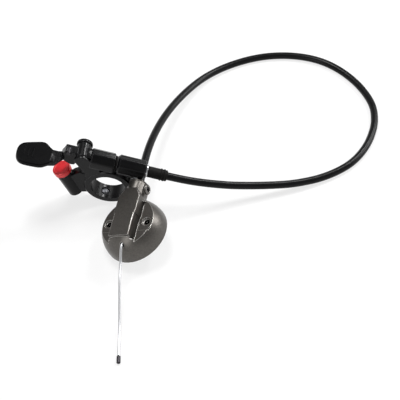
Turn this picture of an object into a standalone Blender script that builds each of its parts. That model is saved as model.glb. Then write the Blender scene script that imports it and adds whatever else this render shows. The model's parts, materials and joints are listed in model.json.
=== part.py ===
"""Fork lockout lever: handlebar lever with release button, cable housing and the fork's rotary cap.

The lever stands on the edge of its bar clamp and the cap lies tipped on its rim, joined by the housing.
"""
import math

import bmesh
import bpy
from mathutils import Vector

MM = 0.001
GAP = 0.3 * MM            # clearance between pieces that touch
ROUND = 48                # sides of a large turned piece
SMALL_ROUND = 24          # sides of a small turned piece
ALONG_X = (0, math.radians(90), 0)      # turns a piece made about Z to lie along X
ALONG_Y = (math.radians(-90), 0, 0)     # turns a piece made about Z to lie along Y
CASTING = "MANIFOLD"      # solver for the two castings, where many holes cross and the exact one leaves slits

# Where the lever and the cap stand, so that the origin is below the middle of the solid pieces
STAND = Vector((64.9, 21.3, 0)) * MM

# Bar clamp, whose near rim's centre is the lever's own origin
BAR_R = 11.1 * MM
RING_WALL = 4.25 * MM
RING_WIDTH = 10.5 * MM
RING_EDGE = 0.8 * MM
RING_R = BAR_R + RING_WALL

# How the lever stands: turned about Y, then X, then Z
LEVER_TURN = (math.radians(4.5), math.radians(17), math.radians(-4.4))
LEVER_XY = (-57.9 * MM, -2.9 * MM)

# Cable line through the lever body
CABLE_Y = 5.3 * MM
CABLE_Z = 19.4 * MM
WIRE_R = 0.8 * MM
HOUSING_R = 2.5 * MM

# Housing block on the clamp
BLOCK_LEFT = -15.4 * MM
BLOCK_RIGHT = -0.8 * MM
BLOCK_DEEP = 11.6 * MM
BLOCK_TALL = 13.0 * MM
BLOCK_CHAMFER = 3.6 * MM

# Pivot of the thumb lever, along the bar's axis
PIVOT_X = -20.5 * MM
PIVOT_Z = 19.3 * MM
EAR_THICK = 2.5 * MM
EAR_R = 4.7 * MM
HUB_R = 4.4 * MM
HUB_LENGTH = 10.0 * MM
BUSH_WALL = 0.8 * MM
PIN_R = 1.9 * MM
PIN_GRIP = 1.7 * MM       # length of the pin inside the ear
PIVOT_HEAD_R = 5.0 * MM
PIVOT_HEAD_THICK = 2.4 * MM

# Thumb lever
ARM_NEAR = 4.0 * MM
ARM_FAR = 9.6 * MM
PAD_X = -49.2 * MM        # centre of the thumb pad
PAD_Y = 0.9 * MM
PAD_TOP = 16.6 * MM
PAD_LONG = 19.2 * MM
PAD_WIDE = 15.4 * MM
PAD_THICK = 3.4 * MM
TANG_THICK = 1.4 * MM
TANG_WIDE = 10.0 * MM
TANG_INSET = 4.0 * MM
NIPPLE_R = 1.5 * MM
NIPPLE_LONG = 4.4 * MM

# Release button, sliding in its own barrel
BUTTON_X = -17.6 * MM     # centre of the barrel's closed end
BUTTON_Z = -17.2 * MM
BUTTON_TILT = math.radians(-35.0)
BARREL_R = 5.2 * MM
BARREL_NOSE_R = 4.85 * MM   # where the cap slides over it
BARREL_BORE_R = 3.55 * MM
BARREL_LONG = 20.8 * MM
BARREL_FLOOR = 2.2 * MM
CAP_R = 5.75 * MM
CAP_TALL = 3.3 * MM
CAP_CROWN = 0.9 * MM
BUTTON_TRAVEL = 1.3 * MM
STEM_R = 1.5 * MM
BUTTON_WIRE_R = 0.35 * MM

# Barrel adjuster and the housing's end
KNOB_LEFT = 1.0 * MM
KNOB_RIGHT = 18.5 * MM
KNOB_R = 6.4 * MM
KNOB_FLUTES = 8
SCREW_R = 2.6 * MM
SCREW_BORE_R = 1.2 * MM
SCREW_IN_BLOCK = 8.0 * MM
SCREW_IN_KNOB = 8.0 * MM
COLLAR_R = 4.3 * MM
COLLAR_THICK = 1.3 * MM
BOOT_R = 3.5 * MM
BOOT_LONG = 12.4 * MM
BOOT_RINGS = 2

# Clamp screw, driven from below towards the bar
CLAMP_SCREW_R = 2.6 * MM
CLAMP_TIP_REACH = 0.3 * MM

# Fork cap, whose base ring's centre is the cap's own origin
FORK_CAP_R = 20.8 * MM
FORK_CAP_DOME = 20.5 * MM   # height of the whole dome, above the deck that cuts it
FORK_CAP_SKIRT = 0.3 * MM
FORK_CAP_FULL = 0.91        # power of the dome's profile, where 1 is an ellipse and less is fuller
FORK_CAP_EDGE = 0.4 * MM
FORK_CAP_WALL = 2.4 * MM
FORK_CAP_CEILING = 9.5 * MM
FORK_CAP_TURN = (math.radians(7.3), math.radians(-23.3), math.radians(-11.2))
FORK_CAP_XY = (-38.6 * MM, -33.9 * MM)
DECK_Z = 18.4 * MM
DECK_HALF = 7.0 * MM
DECK_STEP = 0.5 * MM        # how far the deck's back part stands out past its front part
DECK_STEP_Y = 3.5 * MM
DECK_FRONT = -12.5 * MM
DECK_BACK = 16.0 * MM
DECK_TAIL = 6.0 * MM
DECK_TAIL_HALF = 3.9 * MM
SHELF_Z = 12.3 * MM
SHELF_NEAR = 8.7 * MM
SHELF_FRONT = -6.4 * MM
LEDGE_Z = 13.0 * MM
CHANNEL_Z = 10.9 * MM
CHANNEL_FRONT = -13.3 * MM
CHANNEL_BACK = 14.5 * MM
FIXING_X = 13.2 * MM
FIXING_R = 1.9 * MM
SPOT_R = 2.9 * MM
SPOT_DEEP = 0.8 * MM
NECK_R = 6.0 * MM
NECK_Z = 9.8 * MM
NECK_RISE = 2.4 * MM        # how much higher the top round of the neck lies than the housing
NECK_END = 28.0 * MM
NECK_BORE_DEEP = 9.5 * MM
FERRULE_WALL = 0.35 * MM
FERRULE_LONG = 9.0 * MM
WIRE_EXIT_X = 1.4 * MM
WIRE_EXIT_Z = 13.4 * MM
WIRE_ROOM_R = 3.75 * WIRE_R    # room in which the wire swings from the drum to its way out
PINCH_Y = 24.4 * MM
PINCH_Z = NECK_Z + 0.6 * NECK_RISE
PINCH_BOSS_R = 3.3 * MM
PINCH_BOSS_OUT = 1.6 * MM
PINCH_R = 1.6 * MM

# Drum that the wire turns inside the cap
SPOOL_R = 6.5 * MM
SPOOL_SOCKET_R = 3.4 * MM
SPOOL_SOCKET_DEEP = 5.5 * MM
SPOOL_GRUB_Z = 4.4 * MM
SPOOL_GRUB_R = 1.2 * MM
DRUM_R = 5.4 * MM
DRUM_CORE_R = 3.7 * MM
DRUM_ROOM_Z = 15.9 * MM
JOURNAL_R = 3.0 * MM
JOURNAL_LONG = 1.4 * MM
SPRING_WIRE_R = 0.4 * MM
SPRING_TURNS = 4
PLATE_THICK = 1.2 * MM
PLATE_OPENING_R = 5.6 * MM

# Loose end of the inner wire
CRIMP_R = 1.15 * MM
CRIMP_LONG = 4.5 * MM

# Middle line of the cable housing between the lever and the cap, laid by hand
ROUTE = (
    (-8.0, -1.4, 20.8), (4.0, -0.6, 17.2), (18.0, 1.4, 13.0), (28.7, 3.3, 10.4), (38.4, 5.1, 8.4),
    (48.3, 7.1, 6.6), (58.2, 9.3, 5.1), (68.3, 12.4, 3.9), (78.5, 16.3, 3.0), (89.5, 22.0, 2.6), (100.0, 29.6, 2.6),
    (108.9, 40.0, 2.6), (116.0, 53.0, 2.6), (120.8, 68.4, 2.6), (121.4, 85.3, 2.6), (115.8, 102.5, 2.6),
    (106.2, 117.5, 2.6), (94.5, 128.6, 2.6), (81.6, 135.1, 2.6), (67.0, 138.0, 2.6), (52.1, 137.6, 2.6),
    (38.6, 134.5, 2.6), (25.8, 129.0, 2.8), (14.4, 122.0, 3.2), (3.9, 112.9, 4.0), (-5.0, 101.9, 5.4),
    (-13.1, 88.8, 7.4), (-20.0, 75.0, 9.6), (-25.4, 60.9, 12.2), (-29.3, 47.6, 14.8), (-32.1, 35.4, 17.0),
    (-34.3, 23.7, 18.3), (-35.9, 12.0, 19.1), (-36.9, 3.0, 19.5), (-37.3, -3.2, 20.2),
)

# Middle line of the wire's loose end in front of the cap
TAIL = ((-46.6, -60.0, 14.6), (-46.7, -70.0, 11.8), (-46.4, -82.0, 7.6), (-46.0, -94.0, 3.6),
        (-45.7, -104.0, 1.6), (-45.4, -114.5, 1.3))

FINISHES = {
    "black_anodised": ((0.012, 0.012, 0.014, 1), 0.35, 0.42),
    "gunmetal_paint": ((0.085, 0.080, 0.076, 1), 0.45, 0.38),
    "red_anodised": ((0.55, 0.02, 0.03, 1), 0.3, 0.35),
    "bright_steel": ((0.62, 0.62, 0.63, 1), 1.0, 0.22),
    "dark_steel": ((0.05, 0.05, 0.055, 1), 0.9, 0.35),
    "brass": ((0.55, 0.38, 0.14, 1), 1.0, 0.3),
    "black_plastic": ((0.014, 0.014, 0.015, 1), 0.0, 0.5),
    "black_rubber": ((0.012, 0.012, 0.012, 1), 0.0, 0.6),
    "white_acetal": ((0.6, 0.6, 0.58, 1), 0.0, 0.45),
}


def clear_scene():
    for thing in list(bpy.data.objects):
        bpy.data.objects.remove(thing, do_unlink=True)


def material_for(name, finish):
    colour, metallic, roughness = FINISHES[finish]
    material = bpy.data.materials.new(name)
    material.use_nodes = True
    shader = material.node_tree.nodes["Principled BSDF"]
    shader.inputs["Base Color"].default_value = colour
    shader.inputs["Metallic"].default_value = metallic
    shader.inputs["Roughness"].default_value = roughness
    material.diffuse_color = colour
    return material


def empty(name, parent=None, location=(0, 0, 0), rotation=(0, 0, 0), order="XYZ"):
    thing = bpy.data.objects.new(name, None)
    bpy.context.collection.objects.link(thing)
    thing.parent = parent
    thing.location = location
    thing.rotation_mode = order
    thing.rotation_euler = rotation
    return thing


def placed(name, bm, parent, location, rotation):
    bmesh.ops.recalc_face_normals(bm, faces=bm.faces)
    mesh = bpy.data.meshes.new(name)
    bm.to_mesh(mesh)
    bm.free()
    mesh.shade_smooth()
    mesh.set_sharp_from_angle(angle=math.radians(32))
    thing = bpy.data.objects.new(name, mesh)
    bpy.context.collection.objects.link(thing)
    thing.parent = parent
    thing.location = location
    thing.rotation_euler = rotation
    return thing


def piece(name, bm, finish, parent=None, location=(0, 0, 0), rotation=(0, 0, 0)):
    thing = placed(name, bm, parent, location, rotation)
    thing.data.materials.append(material_for(name, finish))
    return thing


def tool(name, bm, parent=None, location=(0, 0, 0), rotation=(0, 0, 0)):
    thing = placed(name, bm, parent, location, rotation)
    thing.hide_render = True
    thing.display_type = "WIRE"
    return thing


def boolean(target, other, operation, solver="EXACT"):
    modifier = target.modifiers.new(other.name, "BOOLEAN")
    modifier.object = other
    modifier.operation = operation
    modifier.solver = solver


def joined(target, other, solver="EXACT"):
    boolean(target, other, "UNION", solver)


def cut(target, other, solver="EXACT"):
    boolean(target, other, "DIFFERENCE", solver)


def turned(profile, ring=False, sides=ROUND):
    """Solid of revolution about Z from (radius, height) points; a ring profile closes on itself."""
    bm = bmesh.new()
    verts = [bm.verts.new((radius, 0, height)) for radius, height in profile]
    nexts = verts[1:] + verts[:1] if ring else verts[1:]
    edges = [bm.edges.new(pair) for pair in zip(verts, nexts)]
    bmesh.ops.spin(bm, geom=verts + edges, cent=(0, 0, 0), axis=(0, 0, 1), angle=math.tau,
                   steps=sides, use_merge=True, use_duplicate=False)
    bmesh.ops.remove_doubles(bm, verts=bm.verts, dist=1e-7)
    return bm


def rod(radius, low, high, edge=0.0, sides=SMALL_ROUND):
    """Plain round bar about Z with an edge chamfer at both ends."""
    if edge:
        outline = ((0, low), (radius - edge, low), (radius, low + edge),
                   (radius, high - edge), (radius - edge, high), (0, high))
    else:
        outline = ((0, low), (radius, low), (radius, high), (0, high))
    return turned(outline, sides=sides)


def tube(inner, outer, low, high, edge=0.0, sides=ROUND):
    """Round tube about Z with its outer edges chamfered."""
    if edge:
        outline = ((inner, low), (outer - edge, low), (outer, low + edge),
                   (outer, high - edge), (outer - edge, high), (inner, high))
    else:
        outline = ((inner, low), (outer, low), (outer, high), (inner, high))
    return turned(outline, ring=True, sides=sides)


def prism(outline, low, high, axis="Z"):
    """Flat outline extruded along an axis; the outline's two numbers run along the other two axes in turn."""
    to_space = {"X": lambda a, b, t: (t, a, b), "Y": lambda a, b, t: (a, t, b),
                "Z": lambda a, b, t: (a, b, t)}
    step = {"X": (1, 0, 0), "Y": (0, 1, 0), "Z": (0, 0, 1)}
    bm = bmesh.new()
    face = bm.faces.new([bm.verts.new(to_space[axis](a, b, low)) for a, b in outline])
    made = bmesh.ops.extrude_face_region(bm, geom=[face])["geom"]
    moved = [item for item in made if isinstance(item, bmesh.types.BMVert)]
    bmesh.ops.translate(bm, verts=moved, vec=Vector(step[axis]) * (high - low))
    return bm


def arc(centre, radius, start, end, steps):
    """Points of an arc in degrees, both ends included."""
    points = []
    for i in range(steps + 1):
        angle = math.radians(start + (end - start) * i / steps)
        points.append((centre[0] + radius * math.cos(angle), centre[1] + radius * math.sin(angle)))
    return points


def chamfered_box(wide, tall, chamfer, centre=(0, 0)):
    """Rectangle with its four corners cut, as an outline."""
    half_wide = wide / 2
    half_tall = tall / 2
    corners = ((half_wide, chamfer - half_tall), (half_wide, half_tall - chamfer),
               (half_wide - chamfer, half_tall), (chamfer - half_wide, half_tall),
               (-half_wide, half_tall - chamfer), (-half_wide, chamfer - half_tall),
               (chamfer - half_wide, -half_tall), (half_wide - chamfer, -half_tall))
    return [(centre[0] + x, centre[1] + y) for x, y in corners]


def softened(bm, width, segments=2, angle=25):
    """Bevel every edge that is sharper than the angle."""
    sharp = [edge for edge in bm.edges if len(edge.link_faces) == 2
             and edge.calc_face_angle(0) > math.radians(angle)]
    bmesh.ops.bevel(bm, geom=sharp, offset=width, segments=segments, profile=0.5, affect="EDGES",
                    clamp_overlap=True, material=-1)
    return bm


def coil(name, radius, wire, low, high, turns, finish, parent, per_turn=10):
    """Coil spring about Z as a curve with filled ends."""
    count = int(turns * per_turn)
    points = []
    for i in range(count + 1):
        angle = math.tau * i / per_turn
        height = low + wire + (high - low - 2 * wire) * i / count
        points.append((radius * math.cos(angle), radius * math.sin(angle), height))
    return wire_curve(name, points, wire, 1, finish, parent)


def wire_curve(name, points, radius, resolution, finish, parent, location=(0, 0, 0), rotation=(0, 0, 0)):
    curve = bpy.data.curves.new(name, "CURVE")
    curve.dimensions = "3D"
    curve.bevel_depth = radius
    curve.bevel_resolution = resolution
    curve.use_fill_caps = True
    spline = curve.splines.new("POLY")
    spline.points.add(len(points) - 1)
    for point, place in zip(spline.points, points):
        point.co = (*place, 1)
    thing = bpy.data.objects.new(name, curve)
    bpy.context.collection.objects.link(thing)
    thing.parent = parent
    thing.location = location
    thing.rotation_euler = rotation
    curve.materials.append(material_for(name, finish))
    return thing


def smoothed(points, spacing, before=None, after=None):
    """Even points along a smooth curve through the given ones, led in and out by a point beyond each end."""
    before = before or 2 * points[0] - points[1]
    after = after or 2 * points[-1] - points[-2]
    ends = [before] + list(points) + [after]
    fine = []
    for a, b, c, d in zip(ends, ends[1:], ends[2:], ends[3:]):
        for i in range(12):
            t = i / 12
            fine.append(0.5 * (2 * b + (c - a) * t + (2 * a - 5 * b + 4 * c - d) * t * t
                               + (3 * b - a - 3 * c + d) * t ** 3))
    fine.append(points[-1])
    total = sum((b - a).length for a, b in zip(fine, fine[1:]))
    count = max(2, round(total / spacing))
    chosen = [fine[0]]
    walked = 0.0
    for a, b in zip(fine, fine[1:]):
        step = (b - a).length
        while len(chosen) < count and walked + step >= total * len(chosen) / count:
            chosen.append(a.lerp(b, (total * len(chosen) / count - walked) / step))
        walked += step
    chosen.append(fine[-1])
    return chosen


clear_scene()

ring_height = RING_R * math.cos(LEVER_TURN[0]) - RING_EDGE * math.sin(LEVER_TURN[0])
lever_frame = empty("lever_frame", None, Vector((*LEVER_XY, ring_height)) + STAND, LEVER_TURN, "YXZ")
pivot_axis = empty("pivot_axis", lever_frame, (PIVOT_X, 0, PIVOT_Z))
cable_axis = empty("cable_axis", lever_frame, (0, CABLE_Y, CABLE_Z), ALONG_X)
button_axis = empty("button_axis", lever_frame, (BUTTON_X, CABLE_Y, BUTTON_Z), (0, BUTTON_TILT, 0))

hub_near = EAR_THICK + GAP
hub_far = hub_near + HUB_LENGTH
bush_r = PIN_R + GAP
hub_bore_r = bush_r + BUSH_WALL + GAP
cap_low = BARREL_LONG - GAP
cap_high = cap_low + CAP_TALL
boot_left = KNOB_RIGHT + GAP + COLLAR_THICK + GAP


def make_clamp_body():
    """Ring, housing block, pivot ear and button barrel, cast as one."""
    ring = piece("clamp_body", tube(BAR_R - RING_EDGE, RING_R, 0, RING_WIDTH, RING_EDGE, 60), "black_anodised",
                 lever_frame, rotation=ALONG_Y)
    block_outline = chamfered_box(BLOCK_DEEP, BLOCK_TALL, BLOCK_CHAMFER, (CABLE_Y, CABLE_Z))
    block = tool("block", softened(prism(block_outline, BLOCK_LEFT, BLOCK_RIGHT, "X"), 0.7 * MM, 2),
                 lever_frame)
    ear_foot_low = -0.42 * RING_R
    ear_outline = arc((PIVOT_X, PIVOT_Z), EAR_R, 60, 190, 8)
    ear_outline += [(PIVOT_X + 0.9 * EAR_R, PIVOT_Z - 2.3 * EAR_R), (-0.83 * RING_R, ear_foot_low),
                    (-0.55 * RING_R, -0.2 * RING_R), (-0.45 * RING_R, 0.76 * RING_R),
                    (BLOCK_LEFT + 0.4 * BLOCK_TALL, CABLE_Z)]
    ear_outline.reverse()
    ear = tool("ear", softened(prism(ear_outline, 0.05 * MM, EAR_THICK, "Y"), 0.5 * MM, 2, 40), lever_frame)
    shoulder = cap_low - BUTTON_TRAVEL - GAP
    barrel_profile = [(0, 0), (BARREL_R - 1.0 * MM, 0), (BARREL_R, 1.0 * MM), (BARREL_R, shoulder - 0.3 * MM),
                      (BARREL_NOSE_R, shoulder), (BARREL_NOSE_R, BARREL_LONG), (0, BARREL_LONG)]
    barrel = tool("button_barrel", turned(barrel_profile, sides=32), button_axis)
    web_side = (math.sin(BUTTON_TILT), math.cos(BUTTON_TILT))
    web_low = (BUTTON_X + 1.5 * MM * web_side[0], BUTTON_Z + 1.5 * MM * web_side[1])
    web_high = (BUTTON_X + 0.72 * BARREL_LONG * web_side[0], BUTTON_Z + 0.72 * BARREL_LONG * web_side[1])
    web_outline = [web_low, (-0.5 * RING_R, -0.72 * RING_R), (-0.72 * RING_R, -0.3 * RING_R),
                   (-0.80 * RING_R, 0.35 * RING_R), (PIVOT_X + 1.0 * MM, PIVOT_Z - 13.9 * MM),
                   (PIVOT_X - 2.4 * MM, PIVOT_Z - 17.6 * MM), web_high]
    web_deep = 0.55 * RING_WIDTH
    web = tool("button_web", softened(prism(web_outline, CABLE_Y - web_deep / 2, CABLE_Y + web_deep / 2, "Y"),
                                      0.5 * MM, 2, 40), lever_frame)
    for part in (block, ear, web, barrel):
        joined(ring, part, CASTING)
    bar = tool("bar_space", rod(BAR_R, -RING_WIDTH, 2 * RING_WIDTH, sides=56), lever_frame, rotation=ALONG_Y)
    screw_way = tool("adjuster_thread", rod(SCREW_R + GAP, BLOCK_RIGHT - SCREW_IN_BLOCK - GAP, 2 * MM),
                     cable_axis)
    wire_way = tool("wire_way", rod(WIRE_R + 2 * GAP, BLOCK_LEFT - 3 * MM, 2 * MM, sides=16), cable_axis)
    hub_room = tool("hub_room", rod(HUB_R + GAP, hub_near - GAP / 2, 2 * RING_WIDTH, sides=32), pivot_axis,
                    rotation=ALONG_Y)
    pin_way = tool("pin_way", rod(PIN_R + GAP, EAR_THICK - PIN_GRIP - GAP, EAR_THICK + 1 * MM), pivot_axis,
                   rotation=ALONG_Y)
    button_way = tool("button_way", rod(BARREL_BORE_R, BARREL_FLOOR, BARREL_LONG + 2 * MM), button_axis)
    screw_hole = tool("clamp_screw_way", rod(CLAMP_SCREW_R + GAP, -RING_R - 2 * MM, -BAR_R + 2 * MM),
                      lever_frame, (0, RING_WIDTH / 2, 0))
    knob_room = tool("knob_room", rod(KNOB_R + GAP, BLOCK_RIGHT + GAP, KNOB_RIGHT, sides=40), cable_axis)
    for space in (bar, wire_way, screw_way, hub_room, pin_way, button_way, screw_hole, knob_room):
        cut(ring, space, CASTING)


def make_clamp_screw():
    """Set screw with a domed tip that presses on the bar and a hexagon socket outside."""
    top = -BAR_R + CLAMP_TIP_REACH
    low = -RING_R + 0.4 * MM
    profile = [(0, low + 1.6 * MM), (1.2 * MM, low + 1.6 * MM), (1.2 * MM, low),
               (CLAMP_SCREW_R - 0.3 * MM, low), (CLAMP_SCREW_R, low + 0.3 * MM),
               (CLAMP_SCREW_R, top - 1.2 * MM)]
    profile += [(CLAMP_SCREW_R * math.cos(math.radians(a)) ** 0.8, top - 1.2 * MM
                 + 1.2 * MM * math.sin(math.radians(a))) for a in (20, 45, 70)]
    profile.append((0, top))
    piece("clamp_screw", turned(profile, sides=SMALL_ROUND), "bright_steel", lever_frame,
          (0, RING_WIDTH / 2, 0))


def make_pivot():
    """Shouldered pivot screw from the far side, with a plain bush round its shank."""
    head_low = hub_far + GAP
    head_high = head_low + PIVOT_HEAD_THICK
    pin_end = EAR_THICK - PIN_GRIP
    profile = [(0, pin_end), (PIN_R - 0.2 * MM, pin_end), (PIN_R, pin_end + 0.2 * MM), (PIN_R, head_low),
               (PIVOT_HEAD_R - 0.4 * MM, head_low), (PIVOT_HEAD_R, head_low + 0.4 * MM),
               (PIVOT_HEAD_R, head_high - 0.9 * MM)]
    profile += [(PIVOT_HEAD_R - 0.9 * MM + 0.9 * MM * math.cos(math.radians(a)),
                 head_high - 0.9 * MM + 0.9 * MM * math.sin(math.radians(a))) for a in (30, 60, 90)]
    profile += [(1.3 * MM, head_high), (1.3 * MM, head_high - 1.3 * MM), (0, head_high - 1.3 * MM)]
    piece("pivot_screw", turned(profile, sides=32), "black_anodised", pivot_axis, rotation=ALONG_Y)
    piece("pivot_bush", tube(bush_r, bush_r + BUSH_WALL, hub_near, hub_far, sides=SMALL_ROUND), "brass",
          pivot_axis, rotation=ALONG_Y)


def make_lever_arm():
    """Hub, shoulder block, neck and tang of the thumb lever, all about the pivot's axis."""
    arm = piece("lever_arm", tube(hub_bore_r, HUB_R, hub_near, hub_far, 0.3 * MM, 32), "black_anodised",
                pivot_axis, rotation=ALONG_Y)
    tang_top = PAD_TOP - (PAD_THICK - TANG_THICK) / 2 - PIVOT_Z
    tang_low = tang_top - TANG_THICK
    pad_right = PAD_X + PAD_LONG / 2 - PIVOT_X
    tang_left = PAD_X - PAD_LONG / 2 + TANG_INSET - PIVOT_X
    shoulder_outline = [(-3.0 * MM, 2.9 * MM), (-10.9 * MM, 2.8 * MM), (-11.8 * MM, -0.8 * MM),
                        (-12.6 * MM, -2.9 * MM), (-12.6 * MM, -5.8 * MM), (-9.0 * MM, -8.4 * MM),
                        (-6.2 * MM, -9.8 * MM), (-3.4 * MM, -9.2 * MM), (-2.4 * MM, -3.6 * MM)]
    shoulder = tool("arm_shoulder", softened(prism(shoulder_outline, ARM_NEAR, ARM_FAR, "Y"), 0.5 * MM, 2, 30),
                    pivot_axis)
    neck_outline = [(pad_right, PAD_Y - TANG_WIDE / 2), (-15.4 * MM, -3.0 * MM), (-9.4 * MM, ARM_NEAR + 1 * MM),
                    (-9.4 * MM, ARM_FAR - 1 * MM), (-14.6 * MM, 7.2 * MM), (pad_right, 7.2 * MM)]
    neck = tool("arm_neck", softened(prism(neck_outline, tang_low - 0.6 * MM, tang_top + 0.5 * MM, "Z"),
                                     0.3 * MM, 2, 60), pivot_axis)
    tang_outline = [(pad_right + 1.0 * MM, PAD_Y - TANG_WIDE / 2 + 4 * MM), (tang_left, PAD_Y - TANG_WIDE / 2),
                    (tang_left, PAD_Y + TANG_WIDE / 2), (pad_right + 1.0 * MM, PAD_Y + TANG_WIDE / 2)]
    tang = tool("arm_tang", prism(tang_outline, tang_low, tang_top, "Z"), pivot_axis)
    nipple_at = (-8.8 * MM, 0, 1.4 * MM)
    pocket = tool("nipple_pocket", rod(NIPPLE_R + GAP, ARM_NEAR - 2 * MM, CABLE_Y + NIPPLE_LONG / 2 + GAP,
                                       sides=16), pivot_axis, nipple_at, ALONG_Y)
    hub_bore = tool("hub_bore", rod(hub_bore_r, 0, 2 * RING_WIDTH), pivot_axis, rotation=ALONG_Y)
    for part in (shoulder, neck, tang):
        joined(arm, part, CASTING)
    cut(arm, hub_bore, CASTING)
    cut(arm, pocket, CASTING)
    piece("cable_nipple", rod(NIPPLE_R, CABLE_Y - NIPPLE_LONG / 2, CABLE_Y + NIPPLE_LONG / 2, 0.2 * MM, 16),
          "bright_steel", pivot_axis, nipple_at, ALONG_Y)
    return tang_top, tang_low


def make_thumb_pad(tang_top, tang_low):
    """Moulded pad with round corners, pushed over the arm's tang."""
    half_long = PAD_LONG / 2
    half_wide = PAD_WIDE / 2
    centre = (PAD_X - PIVOT_X, PAD_Y)
    left_r = 5.5 * MM
    right_r = 4.5 * MM
    left = centre[0] - half_long
    right = centre[0] + half_long
    low = centre[1] - half_wide
    high = centre[1] + half_wide
    outline = arc((right - right_r, low + right_r), right_r, -90, 0, 5)
    outline += arc((right - right_r, high - right_r), right_r, 0, 90, 5)
    outline += arc((left + left_r, high - left_r), left_r, 90, 180, 6)
    outline += arc((left + left_r, low + left_r), left_r, 180, 270, 6)
    top = PAD_TOP - PIVOT_Z
    pad = piece("thumb_pad", softened(prism(outline, top - PAD_THICK, top, "Z"), 0.7 * MM, 2, 50),
                "black_plastic", pivot_axis)
    tang_left = left + TANG_INSET - GAP
    near = PAD_Y - TANG_WIDE / 2 - GAP
    far = PAD_Y + TANG_WIDE / 2 + GAP
    slot_outline = [(right + 2 * MM, near), (right + 2 * MM, far), (tang_left, far), (tang_left, near)]
    slot = tool("tang_slot", prism(slot_outline, tang_low - GAP, tang_top + GAP, "Z"), pivot_axis)
    neck_gap = tool("neck_room", prism([(right - GAP, near - 9 * MM), (right + 3 * MM, near - 9 * MM),
                                        (right + 3 * MM, far + 9 * MM), (right - GAP, far + 9 * MM)],
                                       top - 2 * PAD_THICK, top + PAD_THICK, "Z"), pivot_axis)
    cut(pad, slot)
    cut(pad, neck_gap)


def make_button():
    """Red cap that slides over its barrel, its stem and the spring that lifts it."""
    bore = BARREL_NOSE_R + GAP
    profile = [(0, cap_high), (CAP_R - 1.6 * MM, cap_high), (CAP_R - 1.3 * MM, cap_high + 0.25 * MM),
               (CAP_R - 0.4 * MM, cap_high + 0.25 * MM), (CAP_R, cap_high - 0.15 * MM),
               (CAP_R, cap_high - 1.4 * MM), (CAP_R - 0.25 * MM, cap_high - 1.6 * MM),
               (CAP_R - 0.25 * MM, cap_high - 1.9 * MM), (CAP_R, cap_high - 2.1 * MM), (CAP_R, cap_low),
               (bore, cap_low), (bore, cap_high - CAP_CROWN), (0, cap_high - CAP_CROWN)]
    profile.reverse()
    piece("button_cap", turned(profile, sides=36), "red_anodised", button_axis)
    stem_high = cap_high - CAP_CROWN - GAP
    stem_low = BARREL_FLOOR + BUTTON_TRAVEL + 1.0 * MM
    flange_r = BARREL_BORE_R - GAP
    profile = [(0, stem_low), (STEM_R, stem_low), (STEM_R, stem_high - 3.6 * MM),
               (flange_r, stem_high - 3.6 * MM), (flange_r, stem_high - 2.4 * MM),
               (STEM_R, stem_high - 2.0 * MM), (STEM_R, stem_high), (0, stem_high)]
    piece("button_stem", turned(profile, sides=SMALL_ROUND), "bright_steel", button_axis)
    coil("button_spring", BARREL_BORE_R - GAP - BUTTON_WIRE_R, BUTTON_WIRE_R, BARREL_FLOOR + GAP,
         stem_high - 3.6 * MM - GAP, 6, "bright_steel", button_axis)


def make_adjuster():
    """Fluted knob on a hollow silver screw, the collar and the boot at the housing's end."""
    outline = []
    steps = KNOB_FLUTES * 6
    for i in range(steps):
        angle = math.tau * i / steps
        dip = 0.5 - 0.5 * math.cos(KNOB_FLUTES * angle)
        radius = KNOB_R * (1 - 0.07 * dip)
        outline.append((radius * math.cos(angle), radius * math.sin(angle)))
    knob = piece("adjuster_knob", prism(outline, KNOB_LEFT - 1 * MM, KNOB_RIGHT + 1 * MM), "black_anodised",
                 cable_axis)
    taper = tool("knob_ends", turned([(0, KNOB_LEFT), (KNOB_R - 1.3 * MM, KNOB_LEFT),
                                      (KNOB_R + 0.2 * MM, KNOB_LEFT + 1.5 * MM),
                                      (KNOB_R + 0.2 * MM, KNOB_RIGHT - 0.9 * MM),
                                      (KNOB_R - 0.7 * MM, KNOB_RIGHT), (0, KNOB_RIGHT)]), cable_axis)
    boolean(knob, taper, "INTERSECT")
    screw_end = KNOB_LEFT + SCREW_IN_KNOB
    screw_way = tool("knob_thread", rod(SCREW_R + GAP, KNOB_LEFT - 1 * MM, screw_end + GAP), cable_axis)
    housing_way = tool("knob_socket", rod(HOUSING_R + 2 * GAP, screw_end + 1.5 * MM,
                                        KNOB_RIGHT + 1 * MM), cable_axis)
    wire_way = tool("knob_wire_way", rod(WIRE_R + 2 * GAP, KNOB_LEFT, KNOB_RIGHT, sides=16), cable_axis)
    for space in (screw_way, housing_way, wire_way):
        cut(knob, space)
    piece("adjuster_screw", tube(SCREW_BORE_R, SCREW_R, BLOCK_RIGHT - SCREW_IN_BLOCK, screw_end, 0.3 * MM,
                                 SMALL_ROUND), "bright_steel", cable_axis)
    collar_low = KNOB_RIGHT + GAP
    piece("adjuster_collar", tube(HOUSING_R + GAP, COLLAR_R, collar_low, collar_low + COLLAR_THICK, 0.3 * MM,
                                  36), "bright_steel", cable_axis)
    inner = HOUSING_R + GAP
    boot_right = boot_left + BOOT_LONG
    profile = [(inner, boot_left), (BOOT_R - 0.1 * MM, boot_left), (BOOT_R, boot_left + 0.3 * MM)]
    ring_pitch = 1.9 * MM
    first = boot_right - BOOT_RINGS * ring_pitch - 0.8 * MM
    for i in range(BOOT_RINGS):
        at = first + i * ring_pitch
        profile += [(BOOT_R, at), (BOOT_R + 0.35 * MM, at + 0.3 * MM), (BOOT_R + 0.35 * MM, at + 0.9 * MM),
                    (BOOT_R, at + 1.2 * MM)]
    profile += [(BOOT_R, boot_right - 0.3 * MM), (BOOT_R - 0.3 * MM, boot_right), (inner, boot_right)]
    piece("housing_boot", turned(profile, ring=True, sides=32), "black_rubber", cable_axis)
    return boot_right


make_clamp_body()
make_clamp_screw()
make_pivot()
tang_faces = make_lever_arm()
make_thumb_pad(*tang_faces)
make_button()
make_adjuster()

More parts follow.
